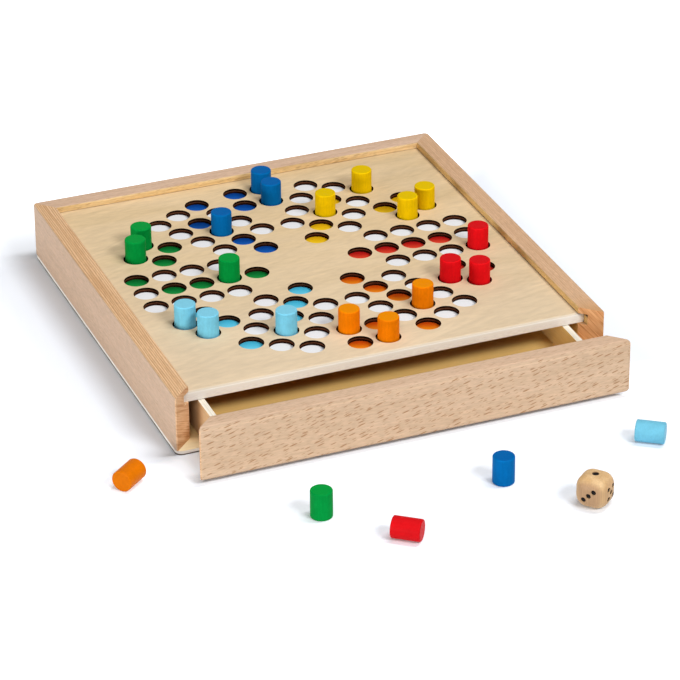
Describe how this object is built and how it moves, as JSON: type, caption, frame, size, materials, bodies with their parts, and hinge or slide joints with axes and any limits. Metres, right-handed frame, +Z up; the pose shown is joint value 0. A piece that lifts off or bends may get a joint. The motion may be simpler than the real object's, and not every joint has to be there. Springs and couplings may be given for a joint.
{
  "type": "peg ludo board with drawer",
  "caption": "Square beech ludo case with a perforated plywood playing panel, painted pegs in its sockets, a wooden die and a drawer whose mitred front closes one side.",
  "frame": {"origin": "middle of the case's underside", "axes": "+Z up, +Y towards the back wall, so the drawer pulls out towards -Y, and +X to the right of someone facing the drawer"},
  "size_m": [0.2945, 0.3904, 0.044],
  "materials": {
    "beech": "sanded and oiled, satin",
    "birch_plywood": "sanded and lacquered, satin",
    "printed_board": "printed fibreboard, matte",
    "paint_blue": "painted, satin",
    "paint_green": "painted, satin",
    "paint_yellow": "painted, satin",
    "paint_red": "painted, satin",
    "paint_orange": "painted, satin",
    "paint_light_blue": "painted, satin",
    "die_wood": "tumbled, satin"
  },
  "bodies": {
    "case": {"back_wall": "beech", "left_wall": "beech", "right_wall": "beech", "base_panel": "birch_plywood", "play_panel": "birch_plywood", "backing_board": "printed_board"},
    "drawer": {"drawer_front": "beech", "drawer_left_side": "birch_plywood", "drawer_right_side": "birch_plywood", "drawer_back": "birch_plywood", "drawer_bottom": "birch_plywood"},
    "peg_blue_1": {"peg_blue_1": "paint_blue"},
    "peg_blue_2": {"peg_blue_2": "paint_blue"},
    "peg_blue_3": {"peg_blue_3": "paint_blue"},
    "peg_blue_4": {"peg_blue_4": "paint_blue"},
    "peg_green_1": {"peg_green_1": "paint_green"},
    "peg_green_2": {"peg_green_2": "paint_green"},
    "peg_green_3": {"peg_green_3": "paint_green"},
    "peg_green_4": {"peg_green_4": "paint_green"},
    "peg_yellow_1": {"peg_yellow_1": "paint_yellow"},
    "peg_yellow_2": {"peg_yellow_2": "paint_yellow"},
    "peg_yellow_3": {"peg_yellow_3": "paint_yellow"},
    "peg_yellow_4": {"peg_yellow_4": "paint_yellow"},
    "peg_red_1": {"peg_red_1": "paint_red"},
    "peg_red_2": {"peg_red_2": "paint_red"},
    "peg_red_3": {"peg_red_3": "paint_red"},
    "peg_red_4": {"peg_red_4": "paint_red"},
    "peg_orange_1": {"peg_orange_1": "paint_orange"},
    "peg_orange_2": {"peg_orange_2": "paint_orange"},
    "peg_orange_3": {"peg_orange_3": "paint_orange"},
    "peg_orange_4": {"peg_orange_4": "paint_orange"},
    "peg_light_blue_1": {"peg_light_blue_1": "paint_light_blue"},
    "peg_light_blue_2": {"peg_light_blue_2": "paint_light_blue"},
    "peg_light_blue_3": {"peg_light_blue_3": "paint_light_blue"},
    "peg_light_blue_4": {"peg_light_blue_4": "paint_light_blue"},
    "die": {"die": "die_wood"}
  },
  "joints": [
    {"name": "drawer_slide", "type": "slide", "parent": "case", "child": "drawer", "axis": [0, -1, 0], "range_m": [-0.0345, 0.1455]},
    {"name": "lift_peg_blue_1", "type": "slide", "parent": "case", "child": "peg_blue_1", "axis": [0, 0, 1], "range_m": [0, 0.03]},
    {"name": "lift_peg_blue_2", "type": "slide", "parent": "case", "child": "peg_blue_2", "axis": [0, 0, 1], "range_m": [0, 0.03]},
    {"name": "lift_peg_blue_3", "type": "slide", "parent": "case", "child": "peg_blue_3", "axis": [0, 0, 1], "range_m": [0, 0.03]},
    {"name": "lift_peg_blue_4", "type": "slide", "parent": "drawer", "child": "peg_blue_4", "axis": [0, 0, 1], "range_m": [0, 0.03]},
    {"name": "lift_peg_green_1", "type": "slide", "parent": "case", "child": "peg_green_1", "axis": [0, 0, 1], "range_m": [0, 0.03]},
    {"name": "lift_peg_green_2", "type": "slide", "parent": "case", "child": "peg_green_2", "axis": [0, 0, 1], "range_m": [0, 0.03]},
    {"name": "lift_peg_green_3", "type": "slide", "parent": "case", "child": "peg_green_3", "axis": [0, 0, 1], "range_m": [0, 0.03]},
    {"name": "lift_peg_green_4", "type": "slide", "parent": "drawer", "child": "peg_green_4", "axis": [0, 0, 1], "range_m": [0, 0.03]},
    {"name": "lift_peg_yellow_1", "type": "slide", "parent": "case", "child": "peg_yellow_1", "axis": [0, 0, 1], "range_m": [0, 0.03]},
    {"name": "lift_peg_yellow_2", "type": "slide", "parent": "case", "child": "peg_yellow_2", "axis": [0, 0, 1], "range_m": [0, 0.03]},
    {"name": "lift_peg_yellow_3", "type": "slide", "parent": "case", "child": "peg_yellow_3", "axis": [0, 0, 1], "range_m": [0, 0.03]},
    {"name": "lift_peg_yellow_4", "type": "slide", "parent": "case", "child": "peg_yellow_4", "axis": [0, 0, 1], "range_m": [0, 0.03]},
    {"name": "lift_peg_red_1", "type": "slide", "parent": "case", "child": "peg_red_1", "axis": [0, 0, 1], "range_m": [0, 0.03]},
    {"name": "lift_peg_red_2", "type": "slide", "parent": "case", "child": "peg_red_2", "axis": [0, 0, 1], "range_m": [0, 0.03]},
    {"name": "lift_peg_red_3", "type": "slide", "parent": "case", "child": "peg_red_3", "axis": [0, 0, 1], "range_m": [0, 0.03]},
    {"name": "lift_peg_red_4", "type": "slide", "parent": "drawer", "child": "peg_red_4", "axis": [0, 0, 1], "range_m": [0, 0.03]},
    {"name": "lift_peg_orange_1", "type": "slide", "parent": "case", "child": "peg_orange_1", "axis": [0, 0, 1], "range_m": [0, 0.03]},
    {"name": "lift_peg_orange_2", "type": "slide", "parent": "case", "child": "peg_orange_2", "axis": [0, 0, 1], "range_m": [0, 0.03]},
    {"name": "lift_peg_orange_3", "type": "slide", "parent": "case", "child": "peg_orange_3", "axis": [0, 0, 1], "range_m": [0, 0.03]},
    {"name": "lift_peg_orange_4", "type": "slide", "parent": "drawer", "child": "peg_orange_4", "axis": [0, 0, 1], "range_m": [0, 0.03]},
    {"name": "lift_peg_light_blue_1", "type": "slide", "parent": "case", "child": "peg_light_blue_1", "axis": [0, 0, 1], "range_m": [0, 0.03]},
    {"name": "lift_peg_light_blue_2", "type": "slide", "parent": "case", "child": "peg_light_blue_2", "axis": [0, 0, 1], "range_m": [0, 0.03]},
    {"name": "lift_peg_light_blue_3", "type": "slide", "parent": "case", "child": "peg_light_blue_3", "axis": [0, 0, 1], "range_m": [0, 0.03]},
    {"name": "lift_peg_light_blue_4", "type": "slide", "parent": "drawer", "child": "peg_light_blue_4", "axis": [0, 0, 1], "range_m": [0, 0.03]},
    {"name": "lift_die", "type": "slide", "parent": "drawer", "child": "die", "axis": [0, 0, 1], "range_m": [0, 0.03]}
  ]
}
